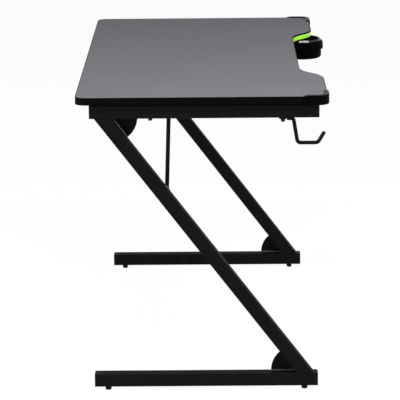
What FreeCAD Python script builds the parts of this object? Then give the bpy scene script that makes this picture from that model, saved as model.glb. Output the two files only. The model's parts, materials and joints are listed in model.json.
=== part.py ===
import FreeCAD, Part
import math
import os

Vector = FreeCAD.Vector
os.makedirs("parts", exist_ok=True)

# Gaming desk on two Z-shaped legs. Millimetres, +Z up, +X to the sitter's right, the sitter at -Y.

# Board and its edge
desk_width = 1100.0
desk_depth = 600.0
desk_height = 735.0
board_thickness = 18.0
rear_corner_radius = 25.0
front_corner_radius = 25.0
recess_depth = 55.0
recess_outer_width = 615.0
recess_shift = 14.0
recess_slant_run = 64.5
recess_inner_radius = 98.0
recess_outer_radius = 102.0
band_thickness = 2.0
band_edge_round = 0.8

# Accent strips set into the band on the curved recess edges
accent_height = 11.0
accent_drop = 4.2
accent_groove = 1.2
accent_thickness = 1.6

# Corner guards
guard_side_length = 60.0
guard_front_length = 72.0
guard_wall = 3.0
guard_lip = 8.0
guard_lip_thickness = 3.0
guard_round = 2.0
guard_ramp = 10.0
guard_tip = 0.8

# Leg frames, in square tube
leg_inset = 10.0
tube_width = 32.0
tube_height = 32.0
tube_wall = 1.5
tube_radius = 2.5
rail_front_setback = 21.0
rail_rear_setback = 33.0
gusset_radius = 62.5
gusset_thickness = 4.0
strut_diameter = 10.0
strut_rear_setback = 221.5
strut_lean = 2.0
strut_shift = 8.0

# End caps
cap_head = 11.5
cap_plug_clearance = 3.0
cap_fit = 0.2
cap_round = 1.5

# Cross rails and their flanges
cross_rail_depth = 20.0
cross_front_setback = 160.0
cross_rear_setback = 110.0
flange_thickness = 3.0
flange_length = 62.0
flange_bolt_spacing = 44.0
flange_bolt_length = 14.0

# Fasteners
bolt_diameter = 6.0
bolt_head_diameter = 10.0
bolt_head_height = 7.2
bolt_head_round = 0.8
bolt_flange_diameter = 13.0
bolt_flange_thickness = 1.4
socket_across_flats = 5.0
socket_depth = 3.0
bolt_hole_clearance = 0.5
thread_clearance = 0.05
rivet_nut_diameter = 9.0
rivet_nut_length = 12.0
insert_diameter = 10.0
insert_length = 13.0
seat_clearance = 0.05
bolt_engagement = 11.0
spacer_diameter = 18.0
spacer_height = 3.0
rail_bolt_front_setback = 107.0
rail_bolt_rear_setback = 178.0
cross_bolt_from_side = 250.0

# Levelling feet
pad_diameter = 15.0
pad_height = 9.7
pad_rim_height = 5.5
pad_neck_diameter = 10.0
pad_round = 2.0
stud_length = 28.0
stud_bury = 6.0
stud_clearance = 0.05
leveller_inset = 32.5
leveller_gap = 0.3
nut_flange_diameter = 13.0
nut_flange_thickness = 1.0

# Headphone hook, a bent rod with a flat eye
hook_rod_diameter = 9.2
hook_eye_diameter = 19.0
hook_eye_thickness = 5.0
hook_neck = 25.0
hook_drop = 59.5
hook_lean = 9.5
hook_bar = 48.0
hook_tip_rise = 23.0
hook_tip_run = 14.0
hook_neck_bend = 7.0
hook_bar_bend = 9.0

# Cup holder that swings on a shoulder bolt
cup_from_side = 220.0
cup_setback = 25.5
pivot_from_side = 135.0
pivot_setback = 38.0
cup_collar_radius = 57.5
cup_bowl_radius = 52.5
cup_inner_radius = 44.5
cup_height = 52.4
cup_collar_height = 27.3
cup_collar_slope = 2.5
cup_floor = 3.0
cup_shoulder_width = 12.0
cup_shoulder_drop = 17.0
cup_foot_round = 6.0
arm_thickness = 6.0
arm_width = 34.0
shoulder_diameter = 8.0
shoulder_clearance = 0.06
swing_gap = 0.2
pivot_head_diameter = 16.0
pivot_head_height = 4.5
pivot_washer_diameter = 26.0
pivot_washer_height = 1.0

# One overrun for every cut
overrun = 5.0

# Levels and lines that several pieces share
side_edge = desk_width / 2
front_edge = -desk_depth / 2
rear_edge = desk_depth / 2
board_bottom = desk_height - board_thickness
recess_inner_width = recess_outer_width - 2 * recess_slant_run
rail_top = board_bottom - spacer_height
rail_bottom = rail_top - tube_height
rail_middle = (rail_top + rail_bottom) / 2
floor_clearance = pad_height + leveller_gap + nut_flange_thickness
foot_bottom = floor_clearance
foot_top = foot_bottom + tube_height
rail_front = front_edge + rail_front_setback
rail_rear = rear_edge - rail_rear_setback
tube_front = rail_front + cap_head
tube_rear = rail_rear - cap_head
leg_x = side_edge - leg_inset - tube_width / 2
leg_inner_x = side_edge - leg_inset - tube_width
cross_front = front_edge + cross_front_setback
cross_rear = rear_edge - cross_rear_setback
bolt_front = front_edge + rail_bolt_front_setback
bolt_rear = rear_edge - rail_bolt_rear_setback
cross_bolt_x = side_edge - cross_bolt_from_side
bolt_hole_diameter = bolt_diameter + 2 * bolt_hole_clearance
nut_bore = bolt_diameter + 2 * thread_clearance
cap_plug = leveller_inset - cap_head - rivet_nut_diameter / 2 - cap_plug_clearance
cup_x = side_edge - cup_from_side
cup_y = front_edge + cup_setback
pivot_x = side_edge - pivot_from_side
pivot_y = front_edge + pivot_setback
washer_bottom = board_bottom - pivot_washer_height
cup_top = washer_bottom - swing_gap
arm_bottom = cup_top - arm_thickness

# The diagonal fills the width between the two tube ends, so its slope follows from rise and span
leg_rise = rail_bottom - foot_top
leg_span = tube_rear - tube_front
leg_angle = math.atan2(leg_rise, leg_span) + math.asin(tube_height / math.hypot(leg_rise, leg_span))
leg_contact = tube_height / math.sin(leg_angle)
leg_direction = Vector(0, math.cos(leg_angle), math.sin(leg_angle))

# The origin stands on the floor in the middle of the desk's overall box
front_most = min(front_edge - guard_wall, cup_y - cup_collar_radius)
frame_shift = Vector(0, -(front_most + rear_edge) / 2, 0)

sides = {"left": -1, "right": 1}
up = Vector(0, 0, 1)


def save(name, shape):
    placed = shape.copy()
    placed.translate(frame_shift)
    placed.exportStep("parts/%s.step" % name)


def box(x0, x1, y0, y1, z0, z1):
    return Part.makeBox(x1 - x0, y1 - y0, z1 - z0, Vector(x0, y0, z0))


def rod(x, y, z0, z1, diameter):
    return Part.makeCylinder(diameter / 2, z1 - z0, Vector(x, y, z0), up)


def rounded_outline(corners):
    # corners holds (x, y, radius) in order round the outline
    edges = []
    ends = []
    for index, (x, y, radius) in enumerate(corners):
        point = Vector(x, y, 0)
        before = corners[index - 1]
        after = corners[(index + 1) % len(corners)]
        to_before = (Vector(before[0], before[1], 0) - point).normalize()
        to_after = (Vector(after[0], after[1], 0) - point).normalize()
        half = to_before.getAngle(to_after) / 2
        if radius <= 0:
            ends.append((point, point))
            continue
        reach = radius / math.tan(half)
        start = point + to_before * reach
        finish = point + to_after * reach
        bisector = (to_before + to_after).normalize()
        middle = point + bisector * (radius / math.sin(half) - radius)
        edges.append((index, Part.Arc(start, middle, finish).toShape()))
        ends.append((start, finish))
    arcs = dict(edges)
    loop = []
    for index, (start, finish) in enumerate(ends):
        if index in arcs:
            loop.append(arcs[index])
        following = ends[(index + 1) % len(ends)][0]
        loop.append(Part.makeLine(finish, following))
    return Part.Wire(loop)


def plate(wire, z0, z1):
    face = Part.Face(wire)
    face.translate(Vector(0, 0, z0))
    return face.extrude(Vector(0, 0, z1 - z0))


def level_edges(shape):
    steepest = math.cos(math.pi / 4)
    return [edge for edge in shape.Edges if abs(edge.tangentAt(edge.FirstParameter).z) < steepest]


def rectangle(width, height, radius):
    corners = [(-width / 2, -height / 2, radius), (width / 2, -height / 2, radius)]
    corners += [(width / 2, height / 2, radius), (-width / 2, height / 2, radius)]
    return rounded_outline(corners)


def tube(width, height, length):
    # a square tube along +Z from the origin
    outer = plate(rectangle(width, height, tube_radius), 0, length)
    inner_radius = max(tube_radius - tube_wall, 0)
    inner = rectangle(width - 2 * tube_wall, height - 2 * tube_wall, inner_radius)
    return outer.cut(plate(inner, 0, length))


def lay(shape, angle):
    # tips a shape that stands along +Z over towards +Y, to the given rise from the floor
    tipped = shape.copy()
    tipped.rotate(Vector(0, 0, 0), Vector(1, 0, 0), math.degrees(angle) - math.degrees(math.pi / 2))
    return tipped


def group(shapes):
    return Part.makeCompound(shapes)


def cap_bolt(head_diameter, head_height, length):
    # head below the origin with a flange at its root, shank up +Z
    head = Part.makeCylinder(head_diameter / 2, head_height, Vector(0, 0, -head_height), up)
    rim = [edge for edge in head.Edges if edge.Closed and edge.CenterOfMass.z < -head_height / 2]
    head = head.makeFillet(bolt_head_round, rim)
    across = socket_across_flats / 2 / math.cos(math.pi / 6)
    hexagon = Part.makePolygon([
        Vector(across * math.cos(step * math.pi / 3), across * math.sin(step * math.pi / 3), 0)
        for step in range(7)])
    socket = plate(hexagon, -head_height - overrun, -head_height + socket_depth)
    flange = rod(0, 0, -bolt_flange_thickness, 0, bolt_flange_diameter)
    shank = rod(0, 0, 0, length, bolt_diameter)
    return head.fuse(flange).cut(socket).fuse(shank).removeSplitter()


def sleeve(outer_diameter, bore, z0, z1):
    return rod(0, 0, z0, z1, outer_diameter).cut(rod(0, 0, z0, z1, bore))


def moved(shape, x, y, z):
    copy = shape.copy()
    copy.translate(Vector(x, y, z))
    return copy


# Places of the bolts that hold the board: two in each top rail, two in each cross rail
hook_place = (-leg_x, bolt_front)
bolt_places = [(side * leg_x, y) for side in sides.values() for y in (bolt_front, bolt_rear)]
bolt_places += [(side * cross_bolt_x, y) for side in sides.values() for y in (cross_front, cross_rear)]
plain_places = [place for place in bolt_places if place != hook_place]
insert_places = bolt_places + [(pivot_x, pivot_y)]


# Desktop: core board, edge band and accent strips
def board_outline():
    recess_line = front_edge + recess_depth
    half_outer = recess_outer_width / 2
    half_inner = recess_inner_width / 2
    corners = [(-side_edge, rear_edge, rear_corner_radius), (-side_edge, front_edge, front_corner_radius)]
    corners += [(recess_shift - half_outer, front_edge, recess_outer_radius)]
    corners += [(recess_shift - half_inner, recess_line, recess_inner_radius)]
    corners += [(recess_shift + half_inner, recess_line, recess_inner_radius)]
    corners += [(recess_shift + half_outer, front_edge, recess_outer_radius)]
    corners += [(side_edge, front_edge, front_corner_radius), (side_edge, rear_edge, rear_corner_radius)]
    return rounded_outline(corners)


def arc_reach(radius):
    # from a corner of the recess along either line to the start of its arc
    return radius * math.tan(math.atan2(recess_depth, recess_slant_run) / 2)


def accent_run(side, depth_in, depth_out):
    # a strip along one curved end of the recess, depth_in inside the edge and depth_out past it
    top = desk_height - accent_drop
    bottom = top - accent_height
    past = plate(outline.makeOffset2D(depth_out), bottom, top)
    inside = plate(outline.makeOffset2D(-depth_in), bottom, top)
    start = recess_shift + side * (recess_inner_width / 2 - arc_reach(recess_inner_radius))
    finish = recess_shift + side * (recess_outer_width / 2 + arc_reach(recess_outer_radius))
    window = box(min(start, finish), max(start, finish), front_edge - overrun,
                 front_edge + recess_depth + overrun, bottom, top)
    return past.cut(inside).common(window)


def mirrored(shape):
    return shape.mirror(Vector(0, 0, 0), Vector(1, 0, 0))


outline = board_outline()
core_outline = outline.makeOffset2D(-band_thickness)
board = plate(core_outline, board_bottom, desk_height)
pocket_diameter = insert_diameter + 2 * seat_clearance
for x, y in insert_places:
    board = board.cut(rod(x, y, board_bottom - overrun, board_bottom + insert_length, pocket_diameter))
save("desktop_board", board)

edge_body = plate(outline, board_bottom, desk_height)
edge_body = edge_body.makeFillet(band_edge_round, level_edges(edge_body))
edge_band = edge_body.cut(plate(core_outline, board_bottom - overrun, desk_height + overrun))
for name, side in sides.items():
    edge_band = edge_band.cut(accent_run(side, accent_groove, overrun))
    save(name + "_accent_strip", accent_run(side, accent_groove, accent_thickness - accent_groove))
save("desktop_edge_band", edge_band)


# Corner guards that wrap the front corners above, outside and below the board
def corner_outline(out, stretch):
    x0 = side_edge - guard_front_length - stretch
    y1 = front_edge + guard_side_length + stretch
    x1 = side_edge + out
    y0 = front_edge - out
    return rounded_outline([(x0, y1, 0), (x0, y0, 0), (x1, y0, front_corner_radius + out), (x1, y1, 0)])


def end_ramp(corner, along, away, proud):
    # a wedge whose cut thins a wall that stands proud by this much, down to the tip at its end
    high = corner - along * guard_ramp
    low = corner - away * (proud - guard_tip)
    far = corner + (along + away) * (guard_ramp + overrun)
    reach = along.cross(away) * (guard_side_length + guard_front_length + board_thickness)
    points = [high * 2 - low, low * 2 - high, far]
    wedge = Part.Face(Part.makePolygon(points + points[:1]))
    wedge.translate(-reach)
    return wedge.extrude(reach * 2)


def corner_guard():
    bottom = board_bottom - guard_lip_thickness
    top = desk_height + guard_lip_thickness
    guard = plate(corner_outline(guard_wall, 0), bottom, top)
    guard = guard.makeFillet(guard_round, level_edges(guard))
    guard = guard.cut(plate(corner_outline(0, overrun), board_bottom, desk_height))
    guard = guard.cut(plate(corner_outline(-guard_lip, overrun), bottom - overrun, top + overrun))
    side_end = Vector(side_edge + guard_wall, front_edge + guard_side_length, 0)
    front_end = Vector(side_edge - guard_front_length, front_edge - guard_wall, 0)
    for end, along, away in ((side_end, Vector(0, 1, 0), Vector(1, 0, 0)),
                             (front_end, Vector(-1, 0, 0), Vector(0, -1, 0))):
        guard = guard.cut(end_ramp(end, along, away, guard_wall))
        guard = guard.cut(end_ramp(end + up * top, along, up, guard_lip_thickness))
        guard = guard.cut(end_ramp(end + up * bottom, along, -up, guard_lip_thickness))
    return guard


guard_right = corner_guard()
save("right_corner_guard", guard_right)
save("left_corner_guard", mirrored(guard_right))


# Leg frames
def level_tube(z_middle):
    laid = lay(tube(tube_width, tube_height, tube_rear - tube_front), 0)
    return moved(laid, 0, tube_front, z_middle)


def top_rail(side):
    rail = moved(level_tube(rail_middle), side * leg_x, 0, 0)
    for y in (bolt_front, bolt_rear):
        rail = rail.cut(rod(side * leg_x, y, rail_bottom - overrun, rail_top + overrun, bolt_hole_diameter))
    for y in flange_bolt_lines:
        hole = Part.makeCylinder(rivet_nut_diameter / 2 + seat_clearance, tube_wall + 2 * overrun,
                                 Vector(side * (leg_inner_x - overrun), y, rail_middle), Vector(side, 0, 0))
        rail = rail.cut(hole)
    return rail


def foot_rail(side):
    foot = moved(level_tube((foot_bottom + foot_top) / 2), side * leg_x, 0, 0)
    for y in leveller_lines.values():
        hole = rod(side * leg_x, y, foot_bottom - overrun, foot_bottom + tube_wall + overrun,
                   rivet_nut_diameter + 2 * seat_clearance)
        foot = foot.cut(hole)
    return foot


def on_the_slope(shape):
    # puts a shape that stands along +Z on the diagonal's centre line, from below the foot rail's top
    start = Vector(0, tube_front + leg_contact / 2, foot_top) - leg_direction * tube_height
    return moved(lay(shape, leg_angle), start.x, start.y, start.z)


def diagonal_leg():
    length = leg_rise / math.sin(leg_angle) + 2 * tube_height
    slope = on_the_slope(tube(tube_width, tube_height, length))
    return slope.common(box(-tube_width, tube_width, rail_front, rail_rear, foot_top, rail_bottom))


def diagonal_envelope():
    length = leg_rise / math.sin(leg_angle) + 2 * tube_height
    return on_the_slope(plate(rectangle(tube_width, tube_height, tube_radius), 0, length))


def gusset(vertex_y, vertex_z, turn):
    # a sector plate near the tube's right-hand side that fills the sharp angle at a joint
    x = tube_width / 2 - tube_radius - gusset_thickness
    vertex = Vector(x, vertex_y, vertex_z)

    def rim(angle):
        reach = Vector(0, math.cos(angle + turn), math.sin(angle + turn))
        return vertex + reach * gusset_radius

    arc = Part.Arc(rim(0), rim(leg_angle / 2), rim(leg_angle)).toShape()
    wire = Part.Wire([Part.makeLine(vertex, rim(0)), arc, Part.makeLine(rim(leg_angle), vertex)])
    return Part.Face(wire).extrude(Vector(gusset_thickness, 0, 0))


def strut():
    y = rear_edge - strut_rear_setback
    face_y = tube_rear - leg_contact
    seat = rail_bottom - (face_y - y) * math.tan(leg_angle)
    bottom = seat - strut_diameter * math.tan(leg_angle)
    bar = rod(strut_shift, y, bottom, rail_top, strut_diameter)
    bar.rotate(Vector(0, y, rail_bottom), Vector(1, 0, 0), strut_lean)
    above = box(-tube_width, tube_width, rail_front, rail_rear, rail_bottom, rail_top + overrun)
    return bar.cut(above).cut(diagonal_envelope())


def end_cap():
    # head from the origin up +Z, plug down into the tube
    head = plate(rectangle(tube_width, tube_height, tube_radius), 0, cap_head)
    rims = [edge for edge in head.Edges if edge.CenterOfMass.z > cap_head - cap_round]
    head = head.makeFillet(cap_round, rims)
    bore_width = tube_width - 2 * (tube_wall + cap_fit)
    bore_height = tube_height - 2 * (tube_wall + cap_fit)
    plug = plate(rectangle(bore_width, bore_height, max(tube_radius - tube_wall, 0)), -cap_plug, 0)
    return head.fuse(plug)


flange_offsets = (-flange_bolt_spacing / 2, flange_bolt_spacing / 2)
flange_bolt_lines = [y + offset for y in (cross_front, cross_rear) for offset in flange_offsets]
leveller_lines = {"front": rail_front + leveller_inset, "rear": rail_rear - leveller_inset}

diagonal = diagonal_leg()
upper_gusset = gusset(tube_rear - leg_contact, rail_bottom, math.pi)
lower_gusset = gusset(tube_front + leg_contact, foot_top, 0)
strut_solid = strut()
cap_rear = lay(end_cap(), 0)
cap_front = lay(end_cap(), math.pi)
cap_levels = {"rail": rail_middle, "foot": (foot_bottom + foot_top) / 2}

for name, side in sides.items():
    save(name + "_top_rail", top_rail(side))
    save(name + "_foot_rail", foot_rail(side))
    save(name + "_diagonal_leg", moved(diagonal, side * leg_x, 0, 0))
    save(name + "_upper_gusset", moved(upper_gusset, side * leg_x, 0, 0))
    save(name + "_lower_gusset", moved(lower_gusset, side * leg_x, 0, 0))
    save(name + "_strut", moved(strut_solid, side * leg_x, 0, 0))
    for tier, z in cap_levels.items():
        save("%s_%s_front_cap" % (name, tier), moved(cap_front, side * leg_x, tube_front, z))
        save("%s_%s_rear_cap" % (name, tier), moved(cap_rear, side * leg_x, tube_rear, z))


# Cross rails under the board, with a bolted flange at each end
def cross_rail(y):
    half = leg_inner_x - flange_thickness
    rail = tube(cross_rail_depth, tube_height, 2 * half)
    rail.rotate(Vector(0, 0, 0), Vector(0, 0, 1), math.degrees(math.pi / 2))
    rail.rotate(Vector(0, 0, 0), Vector(0, 1, 0), math.degrees(math.pi / 2))
    rail.translate(Vector(-half, y, rail_middle))
    for side in sides.values():
        x = side * cross_bolt_x
        rail = rail.cut(rod(x, y, rail_bottom - overrun, rail_top + overrun, bolt_hole_diameter))
    return rail


def rail_flange(side, y):
    inner = leg_inner_x - flange_thickness
    half = flange_length / 2
    flange = box(inner, leg_inner_x, y - half, y + half, rail_bottom, rail_top)
    for offset in flange_offsets:
        start = Vector(inner - overrun, y + offset, rail_middle)
        depth = flange_thickness + 2 * overrun
        flange = flange.cut(Part.makeCylinder(bolt_hole_diameter / 2, depth, start, Vector(1, 0, 0)))
    return flange if side > 0 else mirrored(flange)


def across(shape, side, x, y):
    # turns a fastener that stands along +Z to point outwards along X
    turned = shape.copy()
    turned.rotate(Vector(0, 0, 0), Vector(0, 1, 0), side * math.degrees(math.pi / 2))
    return moved(turned, side * x, y, rail_middle)


for row, y in {"front": cross_front, "rear": cross_rear}.items():
    save(row + "_cross_rail", cross_rail(y))
    for name, side in sides.items():
        save("%s_%s_rail_flange" % (row, name), rail_flange(side, y))

flange_bolt = cap_bolt(bolt_head_diameter, bolt_head_height, flange_bolt_length)
rivet_nut = sleeve(rivet_nut_diameter, nut_bore, 0, rivet_nut_length)
flange_places = [(side, y) for side in sides.values() for y in flange_bolt_lines]
save("flange_bolts", group([across(flange_bolt, side, leg_inner_x - flange_thickness, y)
                            for side, y in flange_places]))
save("flange_rivet_nuts", group([across(rivet_nut, side, leg_inner_x, y) for side, y in flange_places]))

# Bolts, insert nuts and spacers that hold the board on the frame
board_bolt_length = tube_height + spacer_height + bolt_engagement
board_bolt = cap_bolt(bolt_head_diameter, bolt_head_height, board_bolt_length)
long_bolt = cap_bolt(bolt_head_diameter, bolt_head_height, board_bolt_length + hook_eye_thickness)
insert_nut = sleeve(insert_diameter, nut_bore, 0, insert_length)
spacer = sleeve(spacer_diameter, bolt_hole_diameter, 0, spacer_height)
save("desktop_bolts", group([moved(board_bolt, x, y, rail_bottom) for x, y in plain_places]))
save("desktop_insert_nuts", group([moved(insert_nut, x, y, board_bottom) for x, y in insert_places]))
save("desktop_spacers", group([moved(spacer, x, y, rail_top) for x, y in bolt_places]))
save("hook_bolt", moved(long_bolt, hook_place[0], hook_place[1], rail_bottom - hook_eye_thickness))


# Levelling feet: moulded pad on a threaded stud, in a rivet nut in the foot rail's lower wall
def leveller_pad():
    rim = pad_diameter / 2
    neck = pad_neck_diameter / 2
    corner = pad_round * (1 - math.cos(math.pi / 4))
    points = [Vector(0, 0, 0), Vector(rim - pad_round, 0, 0)]
    arc = Part.Arc(points[1], Vector(rim - corner, 0, corner), Vector(rim, 0, pad_round)).toShape()
    upper = [Vector(rim, 0, pad_round), Vector(rim, 0, pad_rim_height), Vector(neck, 0, pad_height)]
    upper += [Vector(0, 0, pad_height), points[0]]
    wire = Part.Wire([Part.makeLine(points[0], points[1]), arc] + Part.makePolygon(upper).Edges)
    pad = Part.Face(wire).revolve(Vector(0, 0, 0), up, math.degrees(2 * math.pi))
    socket = rod(0, 0, pad_height - stud_bury, pad_height + overrun, bolt_diameter + 2 * seat_clearance)
    return pad.cut(socket)


pad_solid = leveller_pad()
stud_solid = rod(0, 0, pad_height - stud_bury, pad_height - stud_bury + stud_length, bolt_diameter)
leveller_bore = bolt_diameter + 2 * stud_clearance
leveller_nut = sleeve(rivet_nut_diameter, leveller_bore, foot_bottom, foot_bottom + rivet_nut_length)
leveller_nut = leveller_nut.fuse(sleeve(nut_flange_diameter, leveller_bore,
                                        foot_bottom - nut_flange_thickness, foot_bottom)).removeSplitter()
nuts = []
for name, side in sides.items():
    for row, y in leveller_lines.items():
        save("%s_%s_leveller_pad" % (name, row), moved(pad_solid, side * leg_x, y, 0))
        save("%s_%s_leveller_stud" % (name, row), moved(stud_solid, side * leg_x, y, 0))
        nuts.append(moved(leveller_nut, side * leg_x, y, 0))
save("leveller_rivet_nuts", group(nuts))


# Headphone hook: flat eye under the rail bolt, neck, leaning arm, bar and upturned tip
def headphone_hook():
    x, y = hook_place
    level = rail_bottom - hook_rod_diameter / 2
    lean = hook_drop * math.tan(math.radians(hook_lean))
    bend = Vector(x, y - hook_neck, level)
    heel = Vector(x, bend.y - lean, level - hook_drop)
    toe = Vector(x, heel.y - hook_bar, heel.z)
    tip = Vector(x, toe.y - hook_tip_run, toe.z + hook_tip_rise)
    start = Vector(x, y - hook_eye_diameter / 2, level)
    path = bent_path([start, bend, heel, toe, tip], [hook_neck_bend, hook_bar_bend, hook_bar_bend])
    section = Part.Wire(Part.makeCircle(hook_rod_diameter / 2, start, Vector(0, -1, 0)))
    bar = path.makePipeShell([section], True, False)
    knob = Part.makeSphere(hook_rod_diameter / 2, tip)
    eye = rod(x, y, rail_bottom - hook_eye_thickness, rail_bottom, hook_eye_diameter)
    half = hook_rod_diameter / 2
    tongue = box(x - half, x + half, start.y - half, y, rail_bottom - hook_eye_thickness, rail_bottom)
    hook = bar.fuse([knob, eye, tongue])
    hole = rod(x, y, rail_bottom - hook_eye_thickness - overrun, rail_bottom + overrun, bolt_hole_diameter)
    return hook.cut(hole).removeSplitter()


def bent_path(points, radii):
    # straight runs joined by tangent arcs at the inner points
    edges = []
    last = points[0]
    for index, radius in enumerate(radii):
        point = points[index + 1]
        back = (points[index] - point).normalize()
        on = (points[index + 2] - point).normalize()
        half = back.getAngle(on) / 2
        reach = radius / math.tan(half)
        start = point + back * reach
        finish = point + on * reach
        middle = point + (back + on).normalize() * (radius / math.sin(half) - radius)
        edges.append(Part.makeLine(last, start))
        edges.append(Part.Arc(start, middle, finish).toShape())
        last = finish
    edges.append(Part.makeLine(last, points[-1]))
    return Part.Wire(edges)


save("headphone_hook", headphone_hook())


# Cup holder: bowl with a soft-shouldered collar, and an arm that swings on the pivot bolt
def cup_holder():
    axis = Vector(cup_x, cup_y, 0)
    foot_bow = cup_foot_round * (1 - math.cos(math.pi / 4))
    heel = cup_bowl_radius - cup_foot_round
    top = [Vector(cup_inner_radius, 0, 0), Vector(cup_collar_radius - cup_shoulder_width, 0, 0)]
    step = cup_collar_height + cup_collar_slope
    wall = [Vector(cup_collar_radius, 0, -cup_shoulder_drop)]
    wall += [Vector(cup_collar_radius, 0, -cup_collar_height)]
    wall += [Vector(cup_bowl_radius, 0, -step), Vector(cup_bowl_radius, 0, cup_foot_round - cup_height)]
    centre = Vector(top[1].x, 0, wall[0].z)
    shoulder = Part.ArcOfEllipse(Part.Ellipse(top[1], wall[0], centre), 0, math.pi / 2).toShape()
    foot_middle = Vector(cup_bowl_radius - foot_bow, 0, foot_bow - cup_height)
    foot = Part.Arc(wall[-1], foot_middle, Vector(heel, 0, -cup_height)).toShape()
    inside = [Vector(heel, 0, -cup_height), Vector(0, 0, -cup_height), Vector(0, 0, cup_floor - cup_height)]
    inside += [Vector(cup_inner_radius, 0, cup_floor - cup_height), top[0]]
    edges = [Part.makeLine(top[0], top[1]), shoulder] + Part.makePolygon(wall).Edges
    edges += [foot] + Part.makePolygon(inside).Edges
    bowl = Part.Face(Part.Wire(edges)).revolve(Vector(0, 0, 0), up, math.degrees(2 * math.pi))
    bowl.translate(axis + Vector(0, 0, cup_top))

    reach = math.hypot(pivot_x - cup_x, pivot_y - cup_y)
    turn = math.degrees(math.atan2(pivot_y - cup_y, pivot_x - cup_x))
    half = arm_width / 2
    arm = box(0, reach, -half, half, arm_bottom, cup_top)
    arm = arm.fuse(rod(reach, 0, arm_bottom, cup_top, arm_width))
    arm = arm.cut(rod(0, 0, arm_bottom - overrun, cup_top + overrun, 2 * top[1].x))
    arm.rotate(Vector(0, 0, 0), up, turn)
    arm.translate(axis)
    hole = rod(pivot_x, pivot_y, arm_bottom - overrun, cup_top + overrun,
               shoulder_diameter + 2 * shoulder_clearance)
    return bowl.fuse(arm).cut(hole).removeSplitter()


save("cup_holder", cup_holder())

shoulder_bottom = arm_bottom - swing_gap
shoulder_length = board_bottom - shoulder_bottom
pivot_bolt = cap_bolt(pivot_head_diameter, pivot_head_height, shoulder_length + bolt_engagement)
pivot_bolt = pivot_bolt.fuse(rod(0, 0, 0, shoulder_length, shoulder_diameter)).removeSplitter()
save("cup_pivot_bolt", moved(pivot_bolt, pivot_x, pivot_y, shoulder_bottom))
washer_bore = shoulder_diameter + 2 * shoulder_clearance
washer = sleeve(pivot_washer_diameter, washer_bore, washer_bottom, board_bottom)
save("cup_pivot_washer", moved(washer, pivot_x, pivot_y, 0))
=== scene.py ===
import json
import math
import bpy
from mathutils import Matrix, Vector


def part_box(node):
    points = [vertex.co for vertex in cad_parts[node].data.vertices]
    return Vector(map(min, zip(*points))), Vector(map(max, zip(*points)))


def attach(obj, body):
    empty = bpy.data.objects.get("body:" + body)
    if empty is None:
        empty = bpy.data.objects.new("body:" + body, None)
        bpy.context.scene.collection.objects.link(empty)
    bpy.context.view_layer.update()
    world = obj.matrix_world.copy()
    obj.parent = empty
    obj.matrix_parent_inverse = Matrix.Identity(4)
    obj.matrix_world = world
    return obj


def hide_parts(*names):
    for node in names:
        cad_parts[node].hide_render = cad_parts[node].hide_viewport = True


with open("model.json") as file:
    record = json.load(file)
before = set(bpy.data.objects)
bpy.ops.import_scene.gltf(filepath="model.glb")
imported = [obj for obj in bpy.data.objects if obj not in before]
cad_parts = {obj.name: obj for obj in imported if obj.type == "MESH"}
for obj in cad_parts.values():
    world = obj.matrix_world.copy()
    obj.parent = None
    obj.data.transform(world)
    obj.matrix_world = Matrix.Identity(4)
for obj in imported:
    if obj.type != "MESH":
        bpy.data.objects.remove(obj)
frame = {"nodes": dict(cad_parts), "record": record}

scene = bpy.context.scene
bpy.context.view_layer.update()  # the CAD box, before anything is added
mm = 0.001
print("frame loaded:", len(frame["nodes"]), "nodes")


def hexToLinear(code):
    channels = [int(code[i:i + 2], 16) / 255 for i in (0, 2, 4)]
    return tuple(c / 12.92 if c <= 0.04045 else ((c + 0.055) / 1.055) ** 2.4 for c in channels) + (1.0,)


def addNode(tree, kind, settings=None, sockets=None):
    node = tree.nodes.new(kind)
    for name, value in (settings or {}).items():
        setattr(node, name, value)
    for name, value in (sockets or {}).items():
        if isinstance(value, bpy.types.NodeSocket):
            tree.links.new(value, node.inputs[name])
        else:
            node.inputs[name].default_value = value
    return node


def startMaterial(name):
    material = bpy.data.materials.new(name)
    material.use_nodes = True
    tree = material.node_tree
    tree.nodes.clear()
    place = addNode(tree, "ShaderNodeTexCoord").outputs["Object"]
    return material, tree, place


def endMaterial(tree, shader):
    addNode(tree, "ShaderNodeOutputMaterial", None, {"Surface": shader.outputs[0]})


# Materials

# Melamine-faced particleboard, pressed against a fine-textured plate: an even, matt cool grey with a
# barely visible fleck, and a dark balancing paper underneath.
laminate = {
    "fleckDark": "79787d", "fleckLight": "8a898e", "paper": "2b2a29",
    "fleckMm": 5.0, "fleckDetail": 4.0,  # real flecks are under 1 mm, drawn coarser so that they show
    "cloudMm": 160.0, "cloudDetail": 2.0, "cloudShare": 0.2,
    "darkAt": 0.42, "lightAt": 0.95,  # noise levels of the darkest and the palest fleck
    "paperBelow": -0.5,  # a face whose normal has a lower Z than this shows the paper
    "grainMm": 1.6, "grainDetail": 2.0, "grainDepthMm": 0.05, "grainStrength": 0.35,
    "roughLow": 0.60, "roughHigh": 0.70, "specular": 0.03,
}


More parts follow.
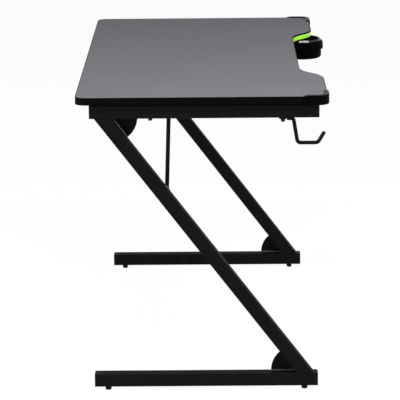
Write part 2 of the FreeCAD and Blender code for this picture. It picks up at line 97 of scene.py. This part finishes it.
def greyMelamine():
    v = laminate
    material, tree, place = startMaterial("greyMelamineBoard")
    fleck = addNode(tree, "ShaderNodeTexNoise", None, {
        "Vector": place, "Scale": 1 / (v["fleckMm"] * mm), "Detail": v["fleckDetail"]})
    cloud = addNode(tree, "ShaderNodeTexNoise", None, {
        "Vector": place, "Scale": 1 / (v["cloudMm"] * mm), "Detail": v["cloudDetail"]})
    both = addNode(tree, "ShaderNodeMath", {"operation": "MULTIPLY_ADD"}, {
        0: cloud.outputs[0], 1: v["cloudShare"], 2: fleck.outputs[0]})
    share = addNode(tree, "ShaderNodeMapRange", None, {
        "Value": both.outputs[0], "From Min": v["darkAt"], "From Max": v["lightAt"]})
    face = addNode(tree, "ShaderNodeMix", {"data_type": "RGBA"}, {
        "Factor": share.outputs[0], "A": hexToLinear(v["fleckDark"]), "B": hexToLinear(v["fleckLight"])})
    normal = addNode(tree, "ShaderNodeNewGeometry").outputs["Normal"]
    level = addNode(tree, "ShaderNodeSeparateXYZ", None, {0: normal})
    under = addNode(tree, "ShaderNodeMath", {"operation": "LESS_THAN"}, {
        0: level.outputs["Z"], 1: v["paperBelow"]})
    colour = addNode(tree, "ShaderNodeMix", {"data_type": "RGBA"}, {
        "Factor": under.outputs[0], "A": face.outputs["Result"], "B": hexToLinear(v["paper"])})
    grain = addNode(tree, "ShaderNodeTexNoise", None, {
        "Vector": place, "Scale": 1 / (v["grainMm"] * mm), "Detail": v["grainDetail"]})
    rough = addNode(tree, "ShaderNodeMapRange", None, {
        "Value": fleck.outputs[0], "To Min": v["roughLow"], "To Max": v["roughHigh"]})
    bump = addNode(tree, "ShaderNodeBump", None, {
        "Height": grain.outputs[0], "Strength": v["grainStrength"], "Distance": v["grainDepthMm"] * mm})
    shader = addNode(tree, "ShaderNodeBsdfPrincipled", None, {
        "Base Color": colour.outputs["Result"], "Roughness": rough.outputs[0], "Normal": bump.outputs[0],
        "Specular IOR Level": v["specular"]})
    endMaterial(tree, shader)
    return material


# Black finishes, each a dark skin over a fine grain. Powder coat is matt, with orange peel from the melt,
# and glossier over a weld, where its lighter grey is a painted highlight along the beads. Moulded
# plastics have the spark-eroded grain of their mould, drawn coarser so that it shows. Rubber has a dull
# even skin.
blackSkins = {
    "frame_paint": dict(
        name="blackPowderCoat", dark="101010", light="181818", grainMm=2.2, depthMm=0.06,
        rough=(0.50, 0.62), specular=0.02),
    "weld": dict(
        # lighter grey than the frame's coat: a painted highlight along the beads; the gloss is the coat's
        # own
        name="powderCoatOverWeldPaintedHighlight", dark="242427", light="343438", grainMm=1.2, depthMm=0.04,
        rough=(0.30, 0.40), specular=1.0),
    "hook_paint": dict(
        name="hookPowderCoat", dark="050505", light="0b0b0b", grainMm=1.8, depthMm=0.04,
        rough=(0.24, 0.32), specular=0.08),
    "edge_band_plastic": dict(
        name="mouldedAbsEdgeBand", dark="050505", light="0a0a0a", grainMm=1.4, depthMm=0.05,
        rough=(0.46, 0.58), specular=0.02),
    "guard_plastic": dict(
        name="mouldedPolypropyleneGuard", dark="030303", light="060606", grainMm=1.6, depthMm=0.03,
        rough=(0.20, 0.28), specular=0.02),
    "cap_plastic": dict(
        name="mouldedPolyethyleneCap", dark="090909", light="111112", grainMm=1.5, depthMm=0.04,
        rough=(0.50, 0.60), specular=0.06),
    "pad_plastic": dict(
        name="mouldedNylonFoot", dark="0a0a0b", light="121213", grainMm=1.2, depthMm=0.03,
        rough=(0.45, 0.55), specular=0.1),
    "spacer_rubber": dict(
        name="blackRubberSpacer", dark="0a0a0a", light="101010", grainMm=1.2, depthMm=0.03,
        rough=(0.78, 0.90), specular=0.1),
}
skinGrain = {
    "detail": 3.0, "strength": 0.4,
    "handledMm": 70.0,  # size of the soft patches where a surface is a little smoother or duller
    "smoothAt": 0.3, "dullAt": 0.7,  # noise levels of the smoothest and the dullest patch
}


def blackSkin(name, dark, light, grainMm, depthMm, rough, specular):
    v = skinGrain
    material, tree, place = startMaterial(name)
    grain = addNode(tree, "ShaderNodeTexNoise", None, {
        "Vector": place, "Scale": 1 / (grainMm * mm), "Detail": v["detail"]})
    handled = addNode(tree, "ShaderNodeTexNoise", None, {
        "Vector": place, "Scale": 1 / (v["handledMm"] * mm), "Detail": v["detail"]})
    colour = addNode(tree, "ShaderNodeMix", {"data_type": "RGBA"}, {
        "Factor": handled.outputs[0], "A": hexToLinear(dark), "B": hexToLinear(light)})
    sheen = addNode(tree, "ShaderNodeMapRange", None, {
        "Value": handled.outputs[0], "From Min": v["smoothAt"], "From Max": v["dullAt"],
        "To Min": rough[0], "To Max": rough[1]})
    bump = addNode(tree, "ShaderNodeBump", None, {
        "Height": grain.outputs[0], "Strength": v["strength"], "Distance": depthMm * mm})
    shader = addNode(tree, "ShaderNodeBsdfPrincipled", None, {
        "Base Color": colour.outputs["Result"], "Roughness": sheen.outputs[0], "Normal": bump.outputs[0],
        "Specular IOR Level": specular})
    endMaterial(tree, shader)
    return material


# Moulded ABS cup: black and finely grained, with a polished chamfer round its rim that mirrors the
# lamp in a pale streak. The grain is drawn coarser than a real mould's so that it shows.
cupSkin = {
    "dark": "020203", "light": "060607", "specular": 0.01,
    "grainMm": 1.4, "grainDetail": 3.0, "grainDepthMm": 0.03, "grainStrength": 0.4,
    "roughLow": 0.38, "roughHigh": 0.50,
    "bandTopMm": 0.5, "bandEndMm": 3.8, "bandFadeMm": 0.6,  # the chamfer, measured down from the rim
    "bandRough": 0.09, "bandIor": 1.45,
    "axis": (0.33, -0.2585, 0.0),  # a point on the cup's centre line, in metres
    "facetDeg": 28.5,  # how far up the chamfer faces
}


def polishedAbs():
    v = cupSkin
    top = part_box("cup_holder")[1].z
    material, tree, place = startMaterial("polishedAbsCup")
    height = addNode(tree, "ShaderNodeSeparateXYZ", None, {0: place}).outputs["Z"]
    middle = top - (v["bandTopMm"] + v["bandEndMm"]) / 2 * mm
    half = (v["bandEndMm"] - v["bandTopMm"]) / 2 * mm
    away = addNode(tree, "ShaderNodeMath", {"operation": "SUBTRACT"}, {0: height, 1: middle})
    reach = addNode(tree, "ShaderNodeMath", {"operation": "ABSOLUTE"}, {0: away.outputs[0]})
    band = addNode(tree, "ShaderNodeMapRange", {"interpolation_type": "SMOOTHSTEP"}, {
        "Value": reach.outputs[0], "From Min": half, "From Max": half + v["bandFadeMm"] * mm,
        "To Min": 1.0, "To Max": 0.0})
    grain = addNode(tree, "ShaderNodeTexNoise", None, {
        "Vector": place, "Scale": 1 / (v["grainMm"] * mm), "Detail": v["grainDetail"]})
    colour = addNode(tree, "ShaderNodeMix", {"data_type": "RGBA"}, {
        "Factor": grain.outputs[0], "A": hexToLinear(v["dark"]), "B": hexToLinear(v["light"])})
    rough = addNode(tree, "ShaderNodeMapRange", None, {
        "Value": grain.outputs[0], "To Min": v["roughLow"], "To Max": v["roughHigh"]})
    bump = addNode(tree, "ShaderNodeBump", None, {
        "Height": grain.outputs[0], "Strength": v["grainStrength"], "Distance": v["grainDepthMm"] * mm})
    fromAxis = addNode(tree, "ShaderNodeVectorMath", {"operation": "SUBTRACT"}, {0: place, 1: v["axis"]})
    level = addNode(tree, "ShaderNodeVectorMath", {"operation": "MULTIPLY"}, {
        0: fromAxis.outputs[0], 1: (1.0, 1.0, 0.0)})  # without its height
    outward = addNode(tree, "ShaderNodeVectorMath", {"operation": "NORMALIZE"}, {0: level.outputs[0]})
    sloped = addNode(tree, "ShaderNodeVectorMath", {"operation": "ADD"}, {
        0: outward.outputs[0], 1: (0.0, 0.0, math.tan(math.radians(v["facetDeg"])))})
    facet = addNode(tree, "ShaderNodeVectorTransform", {
        "vector_type": "NORMAL", "convert_from": "OBJECT", "convert_to": "WORLD"}, {0: sloped.outputs[0]})
    shader = addNode(tree, "ShaderNodeBsdfPrincipled", None, {
        "Base Color": colour.outputs["Result"], "Roughness": rough.outputs[0], "Normal": bump.outputs[0],
        "Specular IOR Level": v["specular"],
        "Coat Weight": band.outputs[0], "Coat Normal": facet.outputs[0],
        "Coat Roughness": v["bandRough"], "Coat IOR": v["bandIor"]})
    endMaterial(tree, shader)
    return material


# Extruded PVC strip in a fluorescent lime pigment: saturated and clean, with long draw lines and
# a glossy face. A faint glow is added on top, painted light that makes the strip brighter than the lamps
# do.
limeStrip = {
    "colour": "a4f23a", "shade": "8fdc2c", "rough": 0.24, "paintedGlow": 0.27,
    "lineMm": 1.5, "lineDetail": 2.0,  # real draw lines are finer, drawn coarser so that they show
    "lineStretch": (0.05, 0.05, 1.0),  # draws the noise out along the strip
    "lineDepthMm": 0.05, "lineStrength": 0.15,
}


def limePvc():
    v = limeStrip
    material, tree, place = startMaterial("extrudedLimePvc")
    stretched = addNode(tree, "ShaderNodeMapping", None, {"Vector": place, "Scale": v["lineStretch"]})
    lines = addNode(tree, "ShaderNodeTexNoise", None, {
        "Vector": stretched.outputs[0], "Scale": 1 / (v["lineMm"] * mm), "Detail": v["lineDetail"]})
    colour = addNode(tree, "ShaderNodeMix", {"data_type": "RGBA"}, {
        "Factor": lines.outputs[0], "A": hexToLinear(v["shade"]), "B": hexToLinear(v["colour"])})
    bump = addNode(tree, "ShaderNodeBump", None, {
        "Height": lines.outputs[0], "Strength": v["lineStrength"], "Distance": v["lineDepthMm"] * mm})
    shader = addNode(tree, "ShaderNodeBsdfPrincipled", None, {
        "Base Color": colour.outputs["Result"], "Roughness": v["rough"], "Normal": bump.outputs[0],
        # the emission is painted light: a steady glow, though the strip is no lamp
        "Emission Color": hexToLinear(v["colour"]), "Emission Strength": v["paintedGlow"]})
    endMaterial(tree, shader)
    return material


# Zinc-plated turned steel: cool grey metal with fine lathe lines round the part and cloudy passivation.
zincSteel = {
    "dark": "8c9096", "light": "b4b8bd", "metallic": 1.0,
    "cloudMm": 9.0, "cloudDetail": 4.0,
    "lineMm": 0.9, "lineDetail": 2.0,  # real lathe lines are finer, drawn coarser so that they show
    "lineStretch": (0.05, 0.05, 1.0),  # draws the noise out round the part
    "roughLow": 0.28, "roughHigh": 0.46,
}


def zincPlate():
    v = zincSteel
    material, tree, place = startMaterial("zincPlatedSteel")
    cloud = addNode(tree, "ShaderNodeTexNoise", None, {
        "Vector": place, "Scale": 1 / (v["cloudMm"] * mm), "Detail": v["cloudDetail"]})
    lathe = addNode(tree, "ShaderNodeMapping", None, {"Vector": place, "Scale": v["lineStretch"]})
    lines = addNode(tree, "ShaderNodeTexNoise", None, {
        "Vector": lathe.outputs[0], "Scale": 1 / (v["lineMm"] * mm), "Detail": v["lineDetail"]})
    colour = addNode(tree, "ShaderNodeMix", {"data_type": "RGBA"}, {
        "Factor": cloud.outputs[0], "A": hexToLinear(v["dark"]), "B": hexToLinear(v["light"])})
    rough = addNode(tree, "ShaderNodeMapRange", None, {
        "Value": lines.outputs[0], "To Min": v["roughLow"], "To Max": v["roughHigh"]})
    shader = addNode(tree, "ShaderNodeBsdfPrincipled", None, {
        "Base Color": colour.outputs["Result"], "Roughness": rough.outputs[0], "Metallic": v["metallic"]})
    endMaterial(tree, shader)
    return material


# Black-oxide screw steel: near black, slightly oily metal, rubbed a little brighter in patches.
oxideSteel = {
    "dark": "121214", "light": "26262a", "metallic": 0.8,
    "rubMm": 3.0, "rubDetail": 4.0,
    "roughLow": 0.36, "roughHigh": 0.52,
}


def blackOxide():
    v = oxideSteel
    material, tree, place = startMaterial("blackOxideSteel")
    rub = addNode(tree, "ShaderNodeTexNoise", None, {
        "Vector": place, "Scale": 1 / (v["rubMm"] * mm), "Detail": v["rubDetail"]})
    colour = addNode(tree, "ShaderNodeMix", {"data_type": "RGBA"}, {
        "Factor": rub.outputs[0], "A": hexToLinear(v["dark"]), "B": hexToLinear(v["light"])})
    rough = addNode(tree, "ShaderNodeMapRange", None, {
        "Value": rub.outputs[0], "To Min": v["roughLow"], "To Max": v["roughHigh"]})
    shader = addNode(tree, "ShaderNodeBsdfPrincipled", None, {
        "Base Color": colour.outputs["Result"], "Roughness": rough.outputs[0], "Metallic": v["metallic"]})
    endMaterial(tree, shader)
    return material


# Natural nylon washer: milky off-white, waxy, lets a little light into its edge.
nylon = {
    "colour": "d8d4c6", "shade": "c6c1b0", "rough": 0.42,
    "cloudMm": 7.0, "cloudDetail": 3.0,
    "glowThrough": 0.2, "glowReachMm": 1.5,  # share of the light that enters, and how far it gets
}


def naturalNylon():
    v = nylon
    material, tree, place = startMaterial("naturalNylon")
    cloud = addNode(tree, "ShaderNodeTexNoise", None, {
        "Vector": place, "Scale": 1 / (v["cloudMm"] * mm), "Detail": v["cloudDetail"]})
    colour = addNode(tree, "ShaderNodeMix", {"data_type": "RGBA"}, {
        "Factor": cloud.outputs[0], "A": hexToLinear(v["shade"]), "B": hexToLinear(v["colour"])})
    shader = addNode(tree, "ShaderNodeBsdfPrincipled", None, {
        "Base Color": colour.outputs["Result"], "Roughness": v["rough"],
        "Subsurface Weight": v["glowThrough"], "Subsurface Scale": v["glowReachMm"] * mm})
    endMaterial(tree, shader)
    return material


finishes = {slot: blackSkin(**skin) for slot, skin in blackSkins.items()}
finishes["grey_laminate"] = greyMelamine()
finishes["cup_plastic"] = polishedAbs()
finishes["green_accent"] = limePvc()
finishes["zinc_steel"] = zincPlate()
finishes["black_bolts"] = blackOxide()
finishes["washer_nylon"] = naturalNylon()
for part in frame["record"]["subparts"]:
    node = frame["nodes"][part["node"]]
    node.data.materials.clear()
    node.data.materials.append(finishes[part["material_slot"]])
print("finishes:", len(finishes))


# Pieces grown by Geometry Nodes

def startTree(name, inputs):
    tree = bpy.data.node_groups.new(name, "GeometryNodeTree")
    for label, kind in inputs.items():
        tree.interface.new_socket(label, in_out="INPUT", socket_type="NodeSocket" + kind)
    tree.interface.new_socket("Geometry", in_out="OUTPUT", socket_type="NodeSocketGeometry")
    return tree, addNode(tree, "NodeGroupInput").outputs


def endTree(tree, geometry, finish):
    smooth = addNode(tree, "GeometryNodeSetShadeSmooth", None, {"Geometry": geometry})
    real = addNode(tree, "GeometryNodeRealizeInstances", None, {"Geometry": smooth.outputs[0]})
    dressed = addNode(tree, "GeometryNodeSetMaterial", None, {
        "Geometry": real.outputs[0], "Material": finish})
    addNode(tree, "NodeGroupOutput", None, {"Geometry": dressed.outputs[0]})


def grow(name, tree, base, values):
    host = bpy.data.objects.new(name + "Host", base)
    scene.collection.objects.link(host)
    modifier = host.modifiers.new(name, "NODES")
    modifier.node_group = tree
    for item in tree.interface.items_tree:
        if item.in_out == "INPUT" and item.name in values:
            modifier[item.identifier] = values[item.name]
    graph = bpy.context.evaluated_depsgraph_get()
    mesh = bpy.data.meshes.new_from_object(host.evaluated_get(graph))
    bpy.data.objects.remove(host)
    piece = bpy.data.objects.new(name, mesh)
    scene.collection.objects.link(piece)
    return piece


# Weld beads: rippled fillet runs at the gussets, the struts and the ends of the cross rails
weld = {
    "radiusMm": 3.0, "stepMm": 0.7, "facets": 12,
    "rippleMm": 2.6, "rippleShare": 0.16,
    "wanderMm": 9.0, "wanderShare": 0.3, "seed": 4.0,
    "slimAt": 0.3, "fullAt": 0.7,  # noise levels of the slimmest and the fullest bead
    "strutLeanDeg": 2.0, "ringPoints": 30, "endGapMm": 3.0,
}


def gussetRuns(side, slope, contact, runs):
    low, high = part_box(side + "_diagonal_leg")
    corners = {"lower": (1, low.y + contact, low.z), "upper": (-1, high.y - contact, high.z)}
    for tier, (sign, y, z) in corners.items():
        plateLow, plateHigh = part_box("%s_%s_gusset" % (side, tier))
        reach = sign * (plateHigh.y - plateLow.y)
        for x in (plateLow.x, plateHigh.x):
            corner = Vector((x, y, z))
            runs.append(([corner + Vector((0, reach, 0)), corner, corner + slope * reach], False))
        gap = weld["endGapMm"] * mm
        runs.append(([Vector((low.x + gap, y, z)), Vector((plateLow.x, y, z))], False))


def strutRings(side, slope, contact, runs):
    # a ring where the strut meets the rail's underside, and a longer one on the sloping face
    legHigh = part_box(side + "_diagonal_leg")[1]
    low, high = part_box(side + "_strut")
    lean = math.radians(weld["strutLeanDeg"])
    radius = (high.x - low.x) / 2
    top = Vector(((low.x + high.x) / 2, low.y + radius / math.cos(lean), high.z))
    down = Vector((0, math.sin(lean), -math.cos(lean)))
    across = Vector((0, math.cos(lean), math.sin(lean)))
    corner = Vector((0, legHigh.y - contact, legHigh.z))
    faces = [(Vector((0, 0, 1)), top), (Vector((0, -slope.z, slope.y)), corner)]
    for normal, spot in faces:
        ring = []
        for step in range(weld["ringPoints"]):
            turn = 2 * math.pi * step / weld["ringPoints"]
            wall = top + radius * (math.cos(turn) * Vector((1, 0, 0)) + math.sin(turn) * across)
            ring.append(wall + down * (normal.dot(spot - wall) / normal.dot(down)))
        runs.append((ring, True))


def weldRuns():
    runs = []
    for side in ("left", "right"):
        railLow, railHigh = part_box(side + "_top_rail")
        legLow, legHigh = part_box(side + "_diagonal_leg")
        depth = railHigh.z - railLow.z
        span, rise = legHigh.y - legLow.y, legHigh.z - legLow.z
        angle = math.atan2(rise, span) + math.asin(depth / math.hypot(rise, span))
        slope = Vector((0, math.cos(angle), math.sin(angle)))
        contact = depth / math.sin(angle)  # length of the sloping tube's foot on a level face
        gussetRuns(side, slope, contact, runs)
        strutRings(side, slope, contact, runs)
    gap = Vector((0, 0, weld["endGapMm"] * mm))
    for row in ("front", "rear"):
        low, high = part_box(row + "_cross_rail")
        for x in (low.x, high.x):
            for y in (low.y, high.y):
                runs.append(([Vector((x, y, low.z)) + gap, Vector((x, y, high.z)) - gap], False))
    return runs


def weldTree():
    tree, given = startTree("weldBead", {
        "Runs": "Geometry", "Bead radius": "Float", "Step": "Float", "Half ripple": "Float",
        "Ripple share": "Float", "Wander share": "Float", "Wander scale": "Float", "Facets": "Int",
        "Seed": "Float"})
    fine = addNode(tree, "GeometryNodeResampleCurve", {"mode": "LENGTH"}, {
        "Curve": given["Runs"], "Length": given["Step"]})
    along = addNode(tree, "GeometryNodeSplineParameter").outputs["Length"]
    wave = addNode(tree, "ShaderNodeMath", {"operation": "PINGPONG"}, {0: along, 1: given["Half ripple"]})
    low = addNode(tree, "ShaderNodeMath", {"operation": "SUBTRACT"}, {0: 1.0, 1: given["Ripple share"]})
    ripple = addNode(tree, "ShaderNodeMapRange", None, {
        "Value": wave.outputs[0], "From Max": given["Half ripple"],
        "To Min": low.outputs[0], "To Max": 1.0})
    noise = addNode(tree, "ShaderNodeTexNoise", {"noise_dimensions": "4D"}, {
        "W": given["Seed"], "Scale": given["Wander scale"]})
    slim = addNode(tree, "ShaderNodeMath", {"operation": "SUBTRACT"}, {0: 1.0, 1: given["Wander share"]})
    wander = addNode(tree, "ShaderNodeMapRange", None, {
        "Value": noise.outputs[0], "From Min": weld["slimAt"], "From Max": weld["fullAt"],
        "To Min": slim.outputs[0], "To Max": 1.0})
    size = addNode(tree, "ShaderNodeMath", {"operation": "MULTIPLY"}, {
        0: ripple.outputs[0], 1: wander.outputs[0]})
    ring = addNode(tree, "GeometryNodeCurvePrimitiveCircle", None, {
        "Resolution": given["Facets"], "Radius": given["Bead radius"]})
    bead = addNode(tree, "GeometryNodeCurveToMesh", None, {
        "Curve": fine.outputs[0], "Profile Curve": ring.outputs[0],
        "Scale": size.outputs[0], "Fill Caps": True})
    endTree(tree, bead.outputs[0], finishes["weld"])
    return tree


def makeWelds():
    v = weld
    curve = bpy.data.curves.new("weldRuns", "CURVE")
    curve.dimensions = "3D"
    for points, closed in weldRuns():
        spline = curve.splines.new("POLY")
        spline.points.add(len(points) - 1)
        for knot, point in zip(spline.points, points):
            knot.co = (*point, 1.0)
        spline.use_cyclic_u = closed
    beads = grow("weldBeads", weldTree(), curve, {
        "Bead radius": v["radiusMm"] * mm, "Step": v["stepMm"] * mm, "Facets": v["facets"],
        "Half ripple": v["rippleMm"] / 2 * mm, "Ripple share": v["rippleShare"],
        "Wander scale": 1 / (v["wanderMm"] * mm), "Wander share": v["wanderShare"], "Seed": v["seed"]})
    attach(beads, "desk")
    print("weld beads:", len(beads.data.polygons), "faces")


# Levelling studs with a cut M6 thread, in place of the plain CAD rods
stud = {
    "pitchMm": 1.0, "stepsPerPitch": 8, "facets": 36,
    "crestShare": 0.995, "rootShare": 0.82,  # of the plain rod's radius
    "chamferMm": 1.0,
}


def threadTree():
    tree, given = startTree("cutThread", {
        "Foot": "Vector", "Length": "Float", "Pitch": "Float", "Root": "Float", "Crest": "Float",
        "Chamfer": "Float", "Facets": "Int", "Steps": "Int"})
    rod = addNode(tree, "GeometryNodeMeshCylinder", None, {
        "Vertices": given["Facets"], "Side Segments": given["Steps"],
        "Radius": 1.0, "Depth": given["Length"]})  # of unit radius, drawn in to the thread below
    half = addNode(tree, "ShaderNodeMath", {"operation": "MULTIPLY"}, {0: given["Length"], 1: 0.5})
    position = addNode(tree, "GeometryNodeInputPosition").outputs[0]
    spot = addNode(tree, "ShaderNodeSeparateXYZ", None, {0: position})
    turn = addNode(tree, "ShaderNodeMath", {"operation": "ARCTAN2"}, {
        0: spot.outputs["Y"], 1: spot.outputs["X"]})
    turns = addNode(tree, "ShaderNodeMath", {"operation": "DIVIDE"}, {
        0: turn.outputs[0], 1: 2 * math.pi})
    rise = addNode(tree, "ShaderNodeMath", {"operation": "DIVIDE"}, {
        0: spot.outputs["Z"], 1: given["Pitch"]})
    phase = addNode(tree, "ShaderNodeMath", {"operation": "SUBTRACT"}, {
        0: rise.outputs[0], 1: turns.outputs[0]})
    flank = addNode(tree, "ShaderNodeMath", {"operation": "PINGPONG"}, {
        0: phase.outputs[0], 1: 0.5})  # 0 at the root, half a pitch at the crest
    cut = addNode(tree, "ShaderNodeMapRange", None, {
        "Value": flank.outputs[0], "From Max": 0.5, "To Min": given["Root"], "To Max": given["Crest"]})
    reach = addNode(tree, "ShaderNodeMath", {"operation": "ABSOLUTE"}, {0: spot.outputs["Z"]})
    left = addNode(tree, "ShaderNodeMath", {"operation": "SUBTRACT"}, {
        0: half.outputs[0], 1: reach.outputs[0]})  # how far it is to the nearer end
    base = addNode(tree, "ShaderNodeMath", {"operation": "SUBTRACT"}, {
        0: given["Crest"], 1: given["Chamfer"]})
    cone = addNode(tree, "ShaderNodeMath", {"operation": "ADD"}, {
        0: base.outputs[0], 1: left.outputs[0]})  # radius of the end's chamfer
    radius = addNode(tree, "ShaderNodeMath", {"operation": "MINIMUM"}, {
        0: cut.outputs[0], 1: cone.outputs[0]})
    stretch = addNode(tree, "ShaderNodeCombineXYZ", None, {
        "X": radius.outputs[0], "Y": radius.outputs[0], "Z": 1.0})
    shaped = addNode(tree, "ShaderNodeVectorMath", {"operation": "MULTIPLY"}, {
        0: position, 1: stretch.outputs[0]})
    lift = addNode(tree, "ShaderNodeCombineXYZ", None, {"Z": half.outputs[0]})
    raised = addNode(tree, "ShaderNodeVectorMath", {"operation": "ADD"}, {
        0: lift.outputs[0], 1: given["Foot"]})
    threaded = addNode(tree, "GeometryNodeSetPosition", None, {
        "Geometry": rod.outputs[0], "Position": shaped.outputs[0], "Offset": raised.outputs[0]})
    endTree(tree, threaded.outputs[0], finishes["zinc_steel"])
    return tree


def makeStuds():
    v = stud
    tree = threadTree()
    bodies = ["%s_%s_leveller" % (side, row) for side in ("left", "right") for row in ("front", "rear")]
    for body in bodies:
        low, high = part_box(body + "_stud")
        radius, length = (high.x - low.x) / 2, high.z - low.z
        piece = grow(body + "_thread", tree, bpy.data.meshes.new("rod"), {
            "Foot": ((low.x + high.x) / 2, (low.y + high.y) / 2, low.z), "Length": length,
            "Pitch": v["pitchMm"] * mm, "Root": radius * v["rootShare"],
            "Crest": radius * v["crestShare"], "Chamfer": v["chamferMm"] * mm, "Facets": v["facets"],
            "Steps": round(length / (v["pitchMm"] * mm) * v["stepsPerPitch"])})
        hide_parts(body + "_stud")
        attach(piece, body)
    print("threaded studs:", len(bodies))


makeWelds()
makeStuds()


# Studio: pale floor, white surroundings, a strip softbox above the near end, and a softbox to either
# side of the camera that lights the legs
studio = {
    "floorHex": "f2f2f2", "floorHalf": 40.0,
    "floorLift": 0.88,  # share of plain white in what the camera and mirrors see of the floor
    "floorGlow": 1.08,  # strength of that white
    "surroundHex": "ffffff",
    "surroundLevel": 0.08,  # strength with which the surroundings light the desk
    "lamps": {
        "topSoftbox": dict(
            place=(-1.35, -0.75, 2.6), aim=(-0.8, -0.75, 0.7), size=(3.0, 0.32), watts=48.0),
        "sitterSoftbox": dict(
            place=(-2.5, -3.8, 1.5), aim=(0.0, 0.0, 0.45), size=(2.0, 1.2), watts=60.0),
        "rearSoftbox": dict(
            place=(-2.5, 3.8, 1.5), aim=(0.0, 0.0, 0.45), size=(2.0, 1.2), watts=150.0),
    },
}


def seenDirectly(tree):
    # 1 for what the camera, mirrors and glass see, 0 for light that falls on things
    path = addNode(tree, "ShaderNodeLightPath")
    first = addNode(tree, "ShaderNodeMath", {"operation": "MAXIMUM"}, {
        0: path.outputs["Is Camera Ray"], 1: path.outputs["Is Glossy Ray"]})
    return addNode(tree, "ShaderNodeMath", {"operation": "MAXIMUM"}, {
        0: first.outputs[0], 1: path.outputs["Is Transmission Ray"]}).outputs[0]


def makeFloor():
    v = studio
    half = v["floorHalf"]
    corners = [(-half, -half, 0), (half, -half, 0), (half, half, 0), (-half, half, 0)]
    mesh = bpy.data.meshes.new("floor")
    mesh.from_pydata(corners, [], [(0, 1, 2, 3)])
    floor = bpy.data.objects.new("floor", mesh)
    scene.collection.objects.link(floor)
    material, tree = startMaterial("paleStudioFloor")[:2]
    diffuse = addNode(tree, "ShaderNodeBsdfDiffuse", None, {"Color": hexToLinear(v["floorHex"])})
    white = addNode(tree, "ShaderNodeEmission", None, {"Strength": v["floorGlow"]})
    lift = addNode(tree, "ShaderNodeMath", {"operation": "MULTIPLY"}, {
        0: seenDirectly(tree), 1: v["floorLift"]})
    mixed = addNode(tree, "ShaderNodeMixShader", None, {
        0: lift.outputs[0], 1: diffuse.outputs[0], 2: white.outputs[0]})
    endMaterial(tree, mixed)
    mesh.materials.append(material)


def makeSurround():
    v = studio
    world = bpy.data.worlds.new("whiteStudio")
    world.use_nodes = True
    tree = world.node_tree
    tree.nodes.clear()
    level = addNode(tree, "ShaderNodeMapRange", None, {
        "Value": seenDirectly(tree), "To Min": v["surroundLevel"]})
    background = addNode(tree, "ShaderNodeBackground", None, {
        "Color": hexToLinear(v["surroundHex"]), "Strength": level.outputs[0]})
    addNode(tree, "ShaderNodeOutputWorld", None, {"Surface": background.outputs[0]})
    scene.world = world


def makeLamps():
    for name, v in studio["lamps"].items():
        data = bpy.data.lights.new(name, "AREA")
        data.shape = "RECTANGLE"
        data.size, data.size_y = v["size"]
        data.energy = v["watts"]
        lamp = bpy.data.objects.new(name, data)
        lamp.location = v["place"]
        lamp.rotation_mode = "QUATERNION"
        lamp.rotation_quaternion = (Vector(v["aim"]) - Vector(v["place"])).to_track_quat("-Z", "Y")
        scene.collection.objects.link(lamp)


# Camera at the photograph's angle, for a 400 x 400 image
cameraView = {
    "place": (-5.3750, -0.0138, 1.7513), "headingDeg": 0.419, "dipDeg": 14.703, "rollDeg": -0.531,
    "focalPx": 2091.0, "imagePx": 400, "sensorMm": 36.0,
}


def makeCamera():
    v = cameraView
    heading, dip = math.radians(v["headingDeg"]), math.radians(v["dipDeg"])
    level = math.cos(dip)
    forward = Vector((level * math.cos(heading), level * math.sin(heading), -math.sin(dip)))
    data = bpy.data.cameras.new("photoCamera")
    data.sensor_width = v["sensorMm"]
    data.lens = v["focalPx"] / v["imagePx"] * v["sensorMm"]
    camera = bpy.data.objects.new("photoCamera", data)
    turn = forward.to_track_quat("-Z", "Y").to_matrix().to_4x4()
    roll = Matrix.Rotation(math.radians(v["rollDeg"]), 4, "Z")
    camera.matrix_world = Matrix.Translation(v["place"]) @ turn @ roll
    scene.collection.objects.link(camera)
    scene.camera = camera


makeFloor()
makeSurround()
makeLamps()
makeCamera()
scene.view_settings.view_transform = "Standard"
print("studio ready")
